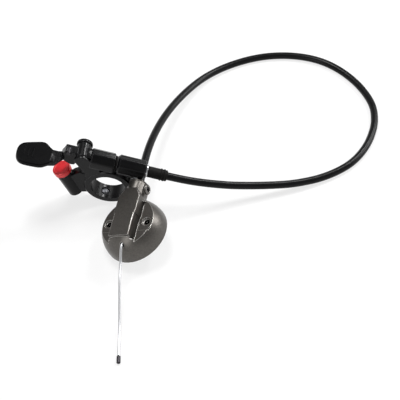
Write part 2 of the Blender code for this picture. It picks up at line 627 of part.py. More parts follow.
# The fork cap lies tipped to its left, on its rim
cap_upright = math.cos(FORK_CAP_TURN[0]) * math.cos(FORK_CAP_TURN[1])
rim_drop = (FORK_CAP_R - FORK_CAP_EDGE) * math.sqrt(1 - cap_upright ** 2)
cap_frame = empty("cap_frame", None, Vector((*FORK_CAP_XY, rim_drop)) + STAND, FORK_CAP_TURN, "YXZ")
drum_room_r = DRUM_CORE_R + 2 * WIRE_R + 2 * GAP


def dome_radius(height):
    """Radius of the cap's dome at a height above the base."""
    rise = max(0, (height - FORK_CAP_SKIRT) / (FORK_CAP_DOME - FORK_CAP_SKIRT))
    return FORK_CAP_R * (1 - rise ** (2 / FORK_CAP_FULL)) ** (FORK_CAP_FULL / 2)


def cap_dome():
    """Profile of the dome, cut level by the deck."""
    steps = 10
    deck_rise = (DECK_Z - FORK_CAP_SKIRT) / (FORK_CAP_DOME - FORK_CAP_SKIRT)
    deck_angle = math.asin(deck_rise ** (1 / FORK_CAP_FULL))
    profile = [(0, 0), (FORK_CAP_R - FORK_CAP_EDGE, 0), (FORK_CAP_R, FORK_CAP_EDGE)]
    for i in range(1, steps + 1):
        rise = math.sin(deck_angle * i / steps) ** FORK_CAP_FULL
        height = FORK_CAP_SKIRT + (FORK_CAP_DOME - FORK_CAP_SKIRT) * rise
        profile.append((dome_radius(height), height))
    return profile + [(0, DECK_Z)]


def cap_hollow():
    """Profile of the room inside the dome, level under the deck."""
    steps = 4
    profile = [(0, -1 * MM)]
    profile.append((dome_radius(0) - FORK_CAP_WALL, -1 * MM))
    for i in range(1, steps + 1):
        height = FORK_CAP_CEILING * i / steps
        profile.append((dome_radius(height) - FORK_CAP_WALL, height))
    return profile + [(0, FORK_CAP_CEILING)]


def mirrored_outline(half):
    """Closed outline from the points of its right half, front to back."""
    return half + [(-x, y) for x, y in reversed(half)]


def make_fork_cap():
    """Full dome cut by a level deck, with two screw shelves, a neck for the housing and a pinch boss."""
    far = 2 * FORK_CAP_R
    dome = piece("fork_cap", turned(cap_dome()), "gunmetal_paint", cap_frame)
    for side, word in ((-1, "left"), (1, "right")):
        spaces = (("shelf", SHELF_NEAR, far, SHELF_FRONT, far, SHELF_Z),
                  ("ledge", SHELF_NEAR, far, -far, SHELF_FRONT + GAP, LEDGE_Z),
                  ("channel", DECK_HALF - DECK_STEP, SHELF_NEAR + GAP, CHANNEL_FRONT, CHANNEL_BACK, CHANNEL_Z))
        for name, near, out, front, back, low in spaces:
            outline = [(side * near, front), (side * out, front), (side * out, back), (side * near, back)]
            cut(dome, tool(name + "_" + word, prism(outline, low, DECK_Z + 2 * MM), cap_frame), CASTING)
    deck = mirrored_outline([(DECK_HALF, DECK_FRONT), (DECK_HALF, DECK_STEP_Y - DECK_STEP),
                             (DECK_HALF + DECK_STEP, DECK_STEP_Y), (DECK_HALF + DECK_STEP, DECK_BACK),
                             (DECK_TAIL_HALF, DECK_BACK + DECK_TAIL)])
    ridge = tool("ridge", softened(prism(deck, FORK_CAP_CEILING - 1 * MM, DECK_Z), 0.7 * MM, 2, 60), cap_frame)
    section = arc((0, NECK_Z + NECK_RISE), NECK_R, 0, 180, 16) + arc((0, NECK_Z), NECK_R, 180, 360, 16)
    neck = tool("ridge_neck", softened(prism(section, DECK_BACK - 6 * MM, NECK_END, "Y"), 0.8 * MM, 2, 60),
                cap_frame)
    boss = tool("pinch_boss", rod(PINCH_BOSS_R, 0, NECK_R + PINCH_BOSS_OUT, 0.5 * MM, SMALL_ROUND), cap_frame,
                (0, PINCH_Y, PINCH_Z), ALONG_X)
    for part in (ridge, neck, boss):
        joined(dome, part, CASTING)
    cut(dome, tool("cap_hollow", turned(cap_hollow(), sides=40), cap_frame), CASTING)
    for side, word in ((-1, "left"), (1, "right")):
        for name, radius, low in (("fixing", FIXING_R, -1 * MM), ("spotface", SPOT_R, SHELF_Z - SPOT_DEEP)):
            space = tool(name + "_" + word, rod(radius, low, DECK_Z), cap_frame, (side * FIXING_X, 0, 0))
            cut(dome, space, CASTING)
    drum_room = tool("drum_room", rod(drum_room_r, FORK_CAP_CEILING - 1 * MM, DRUM_ROOM_Z, sides=32), cap_frame)
    journal_way = tool("journal_way", rod(JOURNAL_R + GAP, DRUM_ROOM_Z - 1 * MM,
                                          DRUM_ROOM_Z + JOURNAL_LONG + GAP), cap_frame)
    wire_room = tool("wire_room", rod(WIRE_ROOM_R, -10 * MM, 0, sides=20), cap_frame,
                     (WIRE_EXIT_X + 1 * MM, 0, WIRE_EXIT_Z), ALONG_Y)
    wire_way = tool("cap_wire_way", rod(WIRE_R + 2 * GAP, -FORK_CAP_R, 0, sides=16), cap_frame,
                    (WIRE_EXIT_X, 0, WIRE_EXIT_Z), ALONG_Y)
    inlet = tool("wire_inlet", rod(WIRE_R + 2 * GAP, 0, NECK_END - NECK_BORE_DEEP + 1 * MM, sides=16),
                 cap_frame, (0, 0, (NECK_Z + WIRE_EXIT_Z) / 2), ALONG_Y)
    socket = tool("housing_socket", rod(HOUSING_R + 2 * GAP + FERRULE_WALL, NECK_END - NECK_BORE_DEEP,
                                        NECK_END + 1 * MM), cap_frame, (0, 0, NECK_Z), ALONG_Y)
    pinch_way = tool("pinch_way", rod(PINCH_R + GAP, HOUSING_R + 1.2 * MM, NECK_R + 3 * MM, sides=20),
                     cap_frame, (0, PINCH_Y, PINCH_Z), ALONG_X)
    for space in (drum_room, journal_way, wire_room, wire_way, inlet, socket, pinch_way):
        cut(dome, space, CASTING)


make_fork_cap()


def cap_point(x, y, z):
    """World point of a place given in the cap's own frame."""
    bpy.context.view_layer.update()
    return cap_frame.matrix_world @ Vector((x, y, z))


def lever_point(x):
    """World point on the cable line of the lever."""
    bpy.context.view_layer.update()
    return lever_frame.matrix_world @ Vector((x, CABLE_Y, CABLE_Z))


def make_housing():
    """Cable housing from the adjuster knob to the cap's neck."""
    first = KNOB_LEFT + SCREW_IN_KNOB + 1.5 * MM + GAP
    leaves = boot_left + BOOT_LONG
    last = NECK_END - NECK_BORE_DEEP + GAP
    free = [Vector(point) * MM + STAND for point in ROUTE]
    free = [lever_point(leaves)] + free + [cap_point(0, NECK_END, NECK_Z)]
    points = smoothed(free, 4 * HOUSING_R, lever_point(leaves - BOOT_LONG), cap_point(0, last, NECK_Z))
    points = [lever_point(first), lever_point((first + leaves) / 2)] + points + [cap_point(0, last, NECK_Z)]
    wire_curve("cable_housing", points, HOUSING_R, 3, "black_rubber", None)


make_housing()


def make_cap_inside():
    """Spool on the damper rod, its spring and screw, the base plate and the neck's fittings."""
    low = PLATE_THICK + GAP
    spool_high = FORK_CAP_CEILING - GAP
    groove_low = WIRE_EXIT_Z - WIRE_R - GAP
    groove_high = WIRE_EXIT_Z + WIRE_R + GAP
    drum_high = DRUM_ROOM_Z - GAP
    socket_top = low + SPOOL_SOCKET_DEEP
    profile = [(0, socket_top), (SPOOL_SOCKET_R, socket_top), (SPOOL_SOCKET_R, low), (SPOOL_R, low),
               (SPOOL_R, spool_high), (DRUM_R, spool_high), (DRUM_R, groove_low), (DRUM_CORE_R, groove_low),
               (DRUM_CORE_R, groove_high), (DRUM_R, groove_high), (DRUM_R, drum_high), (JOURNAL_R, drum_high),
               (JOURNAL_R, drum_high + JOURNAL_LONG), (0, drum_high + JOURNAL_LONG)]
    spool = piece("cable_spool", turned(profile, sides=40), "white_acetal", cap_frame)
    grub_way = tool("grub_way", rod(SPOOL_GRUB_R + GAP, 0, SPOOL_R + 1 * MM, sides=16), cap_frame,
                    (0, 0, SPOOL_GRUB_Z), ALONG_X)
    cut(spool, grub_way)
    piece("spool_grub_screw", rod(SPOOL_GRUB_R, SPOOL_SOCKET_R + GAP, SPOOL_R - GAP, 0.2 * MM, 16),
          "dark_steel", cap_frame, (0, 0, SPOOL_GRUB_Z), ALONG_X)
    coil("spool_spring", SPOOL_R + 2 * GAP + SPRING_WIRE_R, SPRING_WIRE_R, low, spool_high,
         SPRING_TURNS, "bright_steel", cap_frame, 16)
    plate_r = dome_radius(0) - FORK_CAP_WALL - GAP
    plate = piece("base_plate", tube(PLATE_OPENING_R, plate_r, 0, PLATE_THICK), "black_plastic", cap_frame)
    for side, word in ((-1, "left"), (1, "right")):
        cut(plate, tool("plate_hole_" + word, rod(FIXING_R + GAP, -1 * MM, PLATE_THICK + 1 * MM, sides=20),
                        cap_frame, (side * FIXING_X, 0, 0)), CASTING)
    inner = HOUSING_R + GAP
    ferrule_low = NECK_END - NECK_BORE_DEEP + GAP
    piece("neck_ferrule", tube(inner, inner + FERRULE_WALL, ferrule_low, ferrule_low + FERRULE_LONG, sides=32),
          "dark_steel", cap_frame, (0, 0, NECK_Z), ALONG_Y)
    bolt_low = HOUSING_R + 1.2 * MM + GAP
    bolt_high = NECK_R + PINCH_BOSS_OUT - 0.4 * MM
    profile = [(0, bolt_low), (PINCH_R, bolt_low), (PINCH_R, bolt_high), (0.9 * MM, bolt_high),
               (0.9 * MM, bolt_high - 1.2 * MM), (0, bolt_high - 1.2 * MM)]
    piece("pinch_bolt", turned(profile, sides=20), "dark_steel", cap_frame, (0, PINCH_Y, PINCH_Z), ALONG_X)


def make_wire_tail():
    """Trimmed inner wire from the spool out of the cap's front, with the crimp on its end."""
    drum_r = DRUM_CORE_R + GAP + WIRE_R    # the wire leaves the drum and bends over to its way out
    inside = [(drum_r, 0.5 * MM), (0.94 * drum_r, -2.0 * MM), (0.8 * drum_r, -4.5 * MM),
              (WIRE_EXIT_X + 1.3 * MM, -7.0 * MM), (WIRE_EXIT_X + 0.4 * MM, -9.2 * MM),
              (WIRE_EXIT_X, -11.5 * MM), (WIRE_EXIT_X, -14.5 * MM), (WIRE_EXIT_X, -18.5 * MM)]
    points = [cap_point(x, y, WIRE_EXIT_Z) for x, y in inside]
    points += [Vector(point) * MM + STAND for point in TAIL]
    points = smoothed(points, 2.5 * MM)
    wire_curve("wire_tail", points, WIRE_R, 2, "bright_steel", None)
    way = (points[-1] - points[-3]).normalized()
    piece("wire_end_crimp", rod(CRIMP_R, 0, CRIMP_LONG, 0.3 * MM, 16), "dark_steel", None,
          points[-1] + way * GAP, way.to_track_quat("Z", "Y").to_euler())


make_cap_inside()
make_wire_tail()
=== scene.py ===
import json
import math

import bmesh
import bpy
from mathutils import Euler, Matrix, Vector


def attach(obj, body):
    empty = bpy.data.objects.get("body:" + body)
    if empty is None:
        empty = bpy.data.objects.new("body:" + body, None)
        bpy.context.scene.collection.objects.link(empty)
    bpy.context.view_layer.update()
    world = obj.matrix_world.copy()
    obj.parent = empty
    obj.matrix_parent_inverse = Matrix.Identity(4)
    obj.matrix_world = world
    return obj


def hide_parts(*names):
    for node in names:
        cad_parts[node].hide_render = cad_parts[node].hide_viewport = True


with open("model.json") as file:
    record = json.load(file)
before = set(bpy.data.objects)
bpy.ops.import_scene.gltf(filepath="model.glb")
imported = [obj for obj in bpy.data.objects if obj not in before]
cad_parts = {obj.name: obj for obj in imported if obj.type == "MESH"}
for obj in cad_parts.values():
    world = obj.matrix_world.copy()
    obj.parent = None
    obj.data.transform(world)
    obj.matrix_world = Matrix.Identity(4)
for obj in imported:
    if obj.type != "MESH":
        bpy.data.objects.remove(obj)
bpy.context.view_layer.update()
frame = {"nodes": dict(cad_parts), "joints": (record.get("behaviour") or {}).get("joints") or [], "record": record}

MM = 0.001
WELD = 0.002 * MM              # points closer than this become one
FLAT = math.radians(0.6)       # faces that turn less than this become one
CRISP = math.radians(32)       # edges that turn more than this stay sharp
SLOT = {entry["node"]: entry["material_slot"] for entry in frame["record"]["subparts"]}
BODY = {node: body for body, nodes in frame["record"]["behaviour"]["bodies"].items() for node in nodes}

# Lever axes, the lever's pivot, the adjuster and the cap's place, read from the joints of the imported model
JOINTS = {joint["name"]: joint for joint in frame["joints"]}
LEVER_X = Vector(JOINTS["adjuster_turn"]["axis"]).normalized()
LEVER_Y = -Vector(JOINTS["lever_press"]["axis"]).normalized()
LEVER_Z = LEVER_X.cross(LEVER_Y)
PIVOT = Vector(JOINTS["lever_press"]["pos_m"])
KNOB = Vector(JOINTS["adjuster_turn"]["pos_m"])
CAP_ORIGIN = Vector(JOINTS["spool_turn"]["pos_m"])

# Tilt at which the cap lies, the same as in the part's source
CAP_TURN = Euler((math.radians(7.3), math.radians(-23.3), math.radians(-11.2)), "YXZ").to_matrix()

# Route of the cable housing in millimetres, the same points as in the part's source, and the place
# where the part stands
STAND = Vector((64.9, 21.3, 0)) * MM
ROUTE = (
    (-8.0, -1.4, 20.8), (4.0, -0.6, 17.2), (18.0, 1.4, 13.0), (28.7, 3.3, 10.4), (38.4, 5.1, 8.4),
    (48.3, 7.1, 6.6), (58.2, 9.3, 5.1), (68.3, 12.4, 3.9), (78.5, 16.3, 3.0), (89.5, 22.0, 2.6),
    (100.0, 29.6, 2.6), (108.9, 40.0, 2.6), (116.0, 53.0, 2.6), (120.8, 68.4, 2.6), (121.4, 85.3, 2.6),
    (115.8, 102.5, 2.6), (106.2, 117.5, 2.6), (94.5, 128.6, 2.6), (81.6, 135.1, 2.6), (67.0, 138.0, 2.6),
    (52.1, 137.6, 2.6), (38.6, 134.5, 2.6), (25.8, 129.0, 2.8), (14.4, 122.0, 3.2), (3.9, 112.9, 4.0),
    (-5.0, 101.9, 5.4), (-13.1, 88.8, 7.4), (-20.0, 75.0, 9.6), (-25.4, 60.9, 12.2), (-29.3, 47.6, 14.8),
    (-32.1, 35.4, 17.0), (-34.3, 23.7, 18.3), (-35.9, 12.0, 19.1), (-36.9, 3.0, 19.5), (-37.3, -3.2, 20.2),
)
HOUSING_D = 5.0 * MM
HOUSING_STEP = 2.5 * MM
HOUSING_FIRST = 10.8 * MM      # start inside the adjuster, along the lever's cable line
HOUSING_LEAVES = 32.8 * MM     # end of the rubber boot, where the housing is free
BOOT_LONG = 12.4 * MM
NECK_END = 28.0 * MM           # mouth of the cap's neck, along the cap
NECK_LAST = 18.8 * MM          # end of the housing inside the neck
NECK_Z = 9.8 * MM

# Inner wire from the spool out of the cap's front, and its free end in millimetres
WIRE_D = 1.6 * MM
WIRE_STEP = 1.0 * MM
WIRE_EXIT_X = 1.4 * MM
WIRE_EXIT_Z = 13.4 * MM
DRUM_LINE_R = 4.8 * MM
WIRE_INSIDE = (
    (DRUM_LINE_R, 0.5 * MM), (0.94 * DRUM_LINE_R, -2.0 * MM), (0.8 * DRUM_LINE_R, -4.5 * MM),
    (WIRE_EXIT_X + 1.3 * MM, -7.0 * MM), (WIRE_EXIT_X + 0.4 * MM, -9.2 * MM), (WIRE_EXIT_X, -11.5 * MM),
    (WIRE_EXIT_X, -14.5 * MM), (WIRE_EXIT_X, -18.5 * MM),
)
TAIL = ((-46.6, -60.0, 14.6), (-46.7, -70.0, 11.8), (-46.4, -82.0, 7.6), (-46.0, -94.0, 3.6),
        (-45.7, -104.0, 1.6), (-45.4, -114.5, 1.3))
TUBE_ROUND = 8                 # a tube's section has four sides and two more for each of these
CURVE_FINE = 12                # steps between two points of a route

# Thumb pad and its ribs; this and the next three pieces are in millimetres along the lever's axes
PAD_OUTLINE = (
    (-39.1, -2.0), (-39.2, 1.5), (-38.6, 4.5), (-36.6, 7.2), (-32.1, 8.8), (-27.7, 10.3), (-24.4, 11.3),
    (-22.2, 10.6), (-20.4, 8.7), (-18.8, 7.4), (-17.6, 7.2), (-17.6, -3.2), (-18.8, -3.6), (-20.4, -4.9),
    (-22.3, -6.3), (-24.6, -7.0), (-28.0, -7.2), (-31.5, -7.4), (-34.6, -7.3), (-36.8, -6.4), (-38.3, -4.6),
)
PAD_TOP = -2.7
PAD_LOW = -6.1
PAD_RIM = 0.9
RIBS = ((-34.6, 6.4), (-32.0, 7.2), (-29.4, 7.6))      # place along the pad and length
RIB_MIDDLE = 1.4
RIB_THICK = 0.9
RIB_SUNK = 0.15
RIB_EDGE = 0.3

# Web between the housing block and the lever's hub
HUB_CLEAR = 4.75
HUB_ARC = range(-8, 73, 8)     # degrees
BLOCK_FACE = 5.3
WEB_NEAR = 1.6
WEB_WIDE = 7.4
WEB_EDGE = 0.15

# Rubber ring between the block and the adjuster: distances along the cable line and out from it
SEAL_PLACE = (20.0, 5.3, 0.1)
SEAL_PROFILE = ((0.0, 2.75), (0.0, 4.7), (0.25, 5.0), (1.0, 5.0), (1.25, 4.7), (1.25, 2.75))
SEAL_ROUND = 40

# Facet on the arm behind the pad
SADDLE_OUTLINE = ((-19.0, -4.0), (-19.0, -2.75), (-18.2, -2.65), (-15.6, -3.35), (-15.2, -4.0))
SADDLE_NEAR = -2.2
SADDLE_WIDE = 8.6
SADDLE_EDGE = 0.2

# Lip of the cap's neck: two half rounds, the upper one higher, about a round hole
LIP_R = 5.9 * MM
LIP_HOLE_R = 2.65 * MM
LIP_RISE = 2.4 * MM
LIP_SUNK = 0.4 * MM
LIP_LONG = 0.95 * MM
LIP_STEP = 12                  # degrees

# Broken edges: rays that look for them, and the cosines of the normal's turn between which they take a painted
# highlight colour
EDGE_RAYS = 8
HIGHLIGHT_START = 0.99
HIGHLIGHT_END = 0.9

# Camera of the photograph
CAMERA_PLACE = (0.0649, -0.3374, 0.4275)
CAMERA_TILT = math.radians(40)
CAMERA_LENS = 77.94
CAMERA_SENSOR = 36

# Studio
PAPER_SIZE = 3.0
PAPER_GLOW = 0.75              # share of the paper near the part that is plain white; the rest takes shadow
PAPER_NEAR = 0.25              # from here on the paper turns plain white
PAPER_FAR = 0.7
AIR_LIGHT = 0.2                # light from all round
CEILING = 0.36                 # what a mirror sees overhead
CEILING_LOW = 0.05             # heights of the sky between which it turns from white to that
CEILING_HIGH = 0.45
LAMP_AIM = Vector((0.03, 0.02, 0.02))
LAMPS = (                      # name, place, size and power
    ("right_window", (0.94, 0.43, 0.48), 0.5, 6.0),
    ("overhead", (-0.14, 0.3, 0.98), 0.35, 7.5),
    ("slit", (0.5, 0.54, 0.74), 0.16, 4.0),
    ("front_fill", (-0.55, -0.9, 0.55), 0.5, 3.0),
)


def linear(code):
    """Linear colour of an sRGB hex code."""
    parts = [int(code[i:i + 2], 16) / 255 for i in (1, 3, 5)]
    return (*[part / 12.92 if part <= 0.04045 else ((part + 0.055) / 1.055) ** 2.4 for part in parts], 1.0)


def add(tree, kind, settings=None, values=None, links=None):
    """Add a node with its settings, its input values and the outputs that feed it."""
    node = tree.nodes.new(kind)
    for name, value in (settings or {}).items():
        setattr(node, name, value)
    for name, value in (values or {}).items():
        node.inputs[name].default_value = value
    for name, source in (links or {}).items():
        tree.links.new(source, node.inputs[name])
    return node


def per(size):
    """Texture scale whose features are about this many millimetres."""
    return 1000 / size


def started(name, **sockets):
    """New material, its tree, its shader and the object coordinates."""
    material = bpy.data.materials.new(name)
    material.use_nodes = True
    tree = material.node_tree
    shader = tree.nodes["Principled BSDF"]
    for socket, value in sockets.items():
        shader.inputs[socket.replace("_", " ")].default_value = value
    coords = add(tree, "ShaderNodeTexCoord").outputs["Object"]
    return material, tree, shader, coords


def noise(tree, coords, size, detail, blotch=0.5):
    """Noise whose patches are about this many millimetres."""
    return add(tree, "ShaderNodeTexNoise", values={"Scale": per(size), "Detail": detail, "Roughness": blotch},
               links={"Vector": coords}).outputs["Fac"]


def between(tree, factor, dark, light, low, high):
    """Colour from a dark shade at a factor's low value to a light one at its high value."""
    ramp = add(tree, "ShaderNodeValToRGB", links={"Fac": factor})
    first, last = ramp.color_ramp.elements
    first.position = low
    first.color = linear(dark)
    last.position = high
    last.color = linear(light)
    return ramp.outputs["Color"]


def tinted(tree, shader, coords, dark, light, patch, blotch=0.5):
    """Colour that drifts between two close shades over patches of a size in millimetres."""
    colour = between(tree, noise(tree, coords, patch, 3.0, blotch), dark, light, 0.3, 0.7)
    tree.links.new(colour, shader.inputs["Base Color"])


def varied(tree, shader, coords, low, high, patch):
    """Roughness that wanders between two values over patches of a size in millimetres."""
    spread = add(tree, "ShaderNodeMapRange", values={"To Min": low, "To Max": high},
                 links={"Value": noise(tree, coords, patch, 4.0)})
    tree.links.new(spread.outputs["Result"], shader.inputs["Roughness"])


def bumped(tree, shader, height, depth, strength):
    """Bump of a depth in millimetres."""
    bump = add(tree, "ShaderNodeBump", values={"Strength": strength, "Distance": depth * MM},
               links={"Height": height})
    tree.links.new(bump.outputs["Normal"], shader.inputs["Normal"])
    return bump


def grained(tree, shader, coords, grain, depth, strength, edge=0.0, edge_highlight=None):
    """Fine grain and depth in millimetres, over edges broken by a small radius and given a paler painted highlight
    colour.
    """
    bump = bumped(tree, shader, noise(tree, coords, grain, 2.0), depth, strength)
    if not edge:
        return
    broken = add(tree, "ShaderNodeBevel", {"samples": EDGE_RAYS}, {"Radius": edge * MM}).outputs["Normal"]
    tree.links.new(broken, bump.inputs["Normal"])
    if not edge_highlight:
        return
    # Painted highlight: the colour turns paler where the rounded normal turns away from the flat one, along every
    # edge
    flat = add(tree, "ShaderNodeNewGeometry").outputs["Normal"]
    turn = add(tree, "ShaderNodeVectorMath", {"operation": "DOT_PRODUCT"}, links={0: broken, 1: flat})
    highlight_share = add(tree, "ShaderNodeMapRange", values={"From Min": HIGHLIGHT_START, "From Max": HIGHLIGHT_END},
                 links={"Value": turn.outputs["Value"]})
    paint = shader.inputs["Base Color"].links[0].from_socket
    mixed = add(tree, "ShaderNodeMix", {"data_type": "RGBA"}, {7: linear(edge_highlight)},
                {0: highlight_share.outputs["Result"], 6: paint})
    tree.links.new(mixed.outputs[2], shader.inputs["Base Color"])


def coated(name, tint, rough, grain, **sockets):
    """Finish from what tinted, varied and grained take, and from fixed values of the shader."""
    material, tree, shader, coords = started(name, **sockets)
    tinted(tree, shader, coords, *tint)
    varied(tree, shader, coords, *rough)
    grained(tree, shader, coords, *grain)
    return material


def drawn_wire():
    """Stainless inner wire: bright drawn strands, hardly darker where they meet."""
    material, tree, shader, coords = started("drawn_wire", Metallic=1.0)
    strands = add(tree, "ShaderNodeTexWave", {"bands_direction": "DIAGONAL"},
                  {"Scale": per(4.4), "Distortion": 0.6, "Detail": 1.0}, {"Vector": coords}).outputs["Fac"]
    tree.links.new(between(tree, strands, "#c3c4c6", "#c6c7c9", 0.0, 0.45), shader.inputs["Base Color"])
    bumped(tree, shader, strands, 0.01, 0.03)
    varied(tree, shader, coords, 0.34, 0.44, 1.0)
    return material


FINISH = {
    # Bead-blasted and black anodised aluminium: a soft sheen, a faint bloom and a painted highlight on the broken
    # edges
    "black_anodised": coated("black_anodising", ("#070708", "#0b0b0c", 7.0), (0.2, 0.28, 3.0),
                             (0.6, 0.02, 0.2, 0.3, "#48484b"), Specular_IOR_Level=0.15),
    # Casting sprayed with a warm gunmetal lacquer: fine metal flake under a satin film, with a painted highlight
    # at the edges
    "gunmetal_paint": coated("gunmetal_lacquer", ("#514e4b", "#605d59", 0.9, 0.7), (0.3, 0.4, 2.0),
                             (0.7, 0.03, 0.22, 0.35, "#d8d5d1"), Metallic=0.85),
    # Turned and red anodised aluminium: bright dye, with a painted highlight at the edges
    "red_anodised": coated("red_anodising", ("#cb1922", "#dc2a32", 4.0), (0.24, 0.36, 1.2),
                           (0.5, 0.02, 0.15, 0.2, "#f08a80"), Metallic=0.2),
    # Polished and plated steel: nearly a mirror, a little cloudy
    "bright_steel": coated("polished_steel", ("#b9babd", "#d5d6d8", 2.5), (0.14, 0.26, 1.5), (0.4, 0.01, 0.12),
                           Metallic=1.0),
    # Steel screws and sleeves in black oxide: dark, oily and a little brown
    "dark_steel": coated("black_oxide", ("#232221", "#37353a", 1.5), (0.3, 0.45, 1.0), (0.4, 0.01, 0.2, 0.1),
                         Metallic=0.85),
    # Sintered bronze: dull gold with open pores
    "bronze": coated("bearing_bronze", ("#94713b", "#b08b4d", 0.8), (0.38, 0.5, 0.7), (0.3, 0.02, 0.3),
                     Metallic=1.0),
    # Glass-filled nylon from a spark-eroded mould: dull black with an even fine grain and a painted highlight at
    # the edges
    "black_plastic": coated("moulded_nylon", ("#060607", "#0a0a0b", 5.0), (0.3, 0.4, 1.5),
                            (0.7, 0.04, 0.35, 0.3, "#4e4e50"), Specular_IOR_Level=0.04),
    # Soft black rubber: brownish bloom and a dull skin
    "black_rubber": coated("moulded_rubber", ("#0b0a0a", "#131211", 2.0), (0.55, 0.72, 1.2), (0.5, 0.04, 0.4),
                           Specular_IOR_Level=0.12),
    # Turned white acetal: slightly waxy with soft tool marks
    "white_acetal": coated("turned_acetal", ("#dcdad2", "#ecebe5", 3.0), (0.34, 0.46, 1.0), (0.6, 0.02, 0.2),
                           Subsurface_Weight=0.08),
}
# Extruded vinyl jacket of the housing: smooth satin black, very faintly uneven
JACKET = coated("extruded_jacket", ("#080809", "#0e0e0f", 9.0), (0.26, 0.34, 4.0), (1.2, 0.02, 0.2),
                Specular_IOR_Level=0.14)
# Barrel-plated zinc on the clamp's screw: soft grey with a cloudy skin
ZINC = coated("dull_zinc", ("#56575a", "#717276", 1.2), (0.38, 0.52, 1.0), (0.4, 0.02, 0.25, 0.15),
              Metallic=1.0)
WIRE = drawn_wire()


def linked(name, data):
    """New object that holds the data, put into the scene."""
    thing = bpy.data.objects.new(name, data)
    bpy.context.scene.collection.objects.link(thing)
    return thing


def meshed(name, bm, material):
    """New object from a finished bmesh, in one material."""
    mesh = bpy.data.meshes.new(name)
    bm.to_mesh(mesh)
    bm.free()
    mesh.materials.append(material)
    return linked(name, mesh)


def lever_point(x):
    """World point on the lever's cable line, from its distance to the adjuster's joint."""
    return KNOB + x * LEVER_X


def lever_place(x, y, z):
    """World point from millimetres along the lever's axes, from its pivot."""
    return PIVOT + (x * LEVER_X + y * LEVER_Y + z * LEVER_Z) * MM


def cap_point(x, y, z):
    """World point from distances along the tilted cap's axes."""
    return CAP_ORIGIN + CAP_TURN @ Vector((x, y, z))


def length_of(points):
    """Length of the line through some points."""
    return sum((b - a).length for a, b in zip(points, points[1:]))


def smoothed(points, spacing, before=None, after=None):
    """Even points along a smooth curve through the given ones, led in and out by a point beyond each end."""
    before = before or 2 * points[0] - points[1]
    after = after or 2 * points[-1] - points[-2]
    ends = [before] + list(points) + [after]
    fine = []
    for a, b, c, d in zip(ends, ends[1:], ends[2:], ends[3:]):
        for i in range(CURVE_FINE):
            t = i / CURVE_FINE
            fine.append(0.5 * (2 * b + (c - a) * t + (2 * a - 5 * b + 4 * c - d) * t * t
                               + (3 * b - a - 3 * c + d) * t ** 3))
    fine.append(points[-1])
    total = length_of(fine)
    count = max(2, round(total / spacing))
    chosen = [fine[0]]
    walked = 0.0
    for a, b in zip(fine, fine[1:]):
        step = (b - a).length
        while len(chosen) < count and walked + step >= total * len(chosen) / count:
            chosen.append(a.lerp(b, (total * len(chosen) / count - walked) / step))
        walked += step
    chosen.append(fine[-1])
    return chosen


def tube_curve(name, points, diameter, material):
    """Closed round tube through some points."""
    curve = bpy.data.curves.new(name, "CURVE")
    curve.dimensions = "3D"
    curve.bevel_depth = diameter / 2
    curve.bevel_resolution = TUBE_ROUND
    curve.use_fill_caps = True
    spline = curve.splines.new("POLY")
    spline.points.add(len(points) - 1)
    for point, place in zip(spline.points, points):
        point.co = (*place, 1)
    spline.use_smooth = True
    curve.materials.append(material)
    return linked(name, curve)


def dressed(node, material=None):
    """The node's own form with its loose triangles merged, shaded round where it is round."""
    bm = bmesh.new()
    bm.from_mesh(frame["nodes"][node].data)
    bmesh.ops.remove_doubles(bm, verts=bm.verts, dist=WELD)
    bmesh.ops.dissolve_limit(bm, angle_limit=FLAT, verts=bm.verts, edges=bm.edges)
    for face in bm.faces:
        face.smooth = True
    for edge in bm.edges:
        edge.smooth = len(edge.link_faces) == 2 and edge.calc_face_angle(0) < CRISP
    piece = meshed(node + "_finished", bm, material or FINISH[SLOT[node]])
    even = piece.modifiers.new("even_normals", "WEIGHTED_NORMAL")
    even.keep_sharp = True
    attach(piece, BODY[node])
    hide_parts(node)
    return piece


def built(name, bm, material, node, levels=0):
    """New piece from a finished bmesh, in a given material and on the body of the node it belongs to."""
    bmesh.ops.remove_doubles(bm, verts=bm.verts, dist=WELD)
    bmesh.ops.recalc_face_normals(bm, faces=bm.faces)
    for face in bm.faces:
        face.smooth = True
    piece = meshed(name, bm, material)
    if levels:
        round_off = piece.modifiers.new("round_off", "SUBSURF")
        round_off.levels = levels
        round_off.render_levels = levels
    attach(piece, BODY[node])
    return piece


def pushed(bm, faces, depth):
    """Draw faces out along a vector into a closed body."""
    made = bmesh.ops.extrude_face_region(bm, geom=faces)["geom"]
    far = [item for item in made if isinstance(item, bmesh.types.BMVert)]
    bmesh.ops.translate(bm, verts=far, vec=depth)


def slab(outline, depth):
    """New bmesh: the flat outline of some points, drawn out along a vector."""
    bm = bmesh.new()
    face = bm.faces.new([bm.verts.new(point) for point in outline])
    pushed(bm, [face], depth)
    return bm


def looped(bm, points):
    """Closed ring of edges through some points."""
    verts = [bm.verts.new(point) for point in points]
    return [bm.edges.new(pair) for pair in zip(verts, verts[1:] + verts[:1])]


def rounded(bm, edges, radius, segments=2):
    """Round some edges off by a radius in millimetres."""
    bmesh.ops.bevel(bm, geom=edges, offset=radius * MM, segments=segments, profile=0.5, affect="EDGES",
                    material=-1)


def make_housing():
    """Jacketed housing: it leaves the boot, loops round on the table and goes into the cap's neck."""
    free = [lever_point(HOUSING_LEAVES)] + [Vector(point) * MM + STAND for point in ROUTE]
    free.append(cap_point(0, NECK_END, NECK_Z))
    last = cap_point(0, NECK_LAST, NECK_Z)
    points = smoothed(free, HOUSING_STEP, lever_point(HOUSING_LEAVES - BOOT_LONG), last)
    points = [lever_point(HOUSING_FIRST)] + points + [last]
    housing = tube_curve("housing_jacket", points, HOUSING_D, JACKET)
    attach(housing, "body")
    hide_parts("cable_housing")


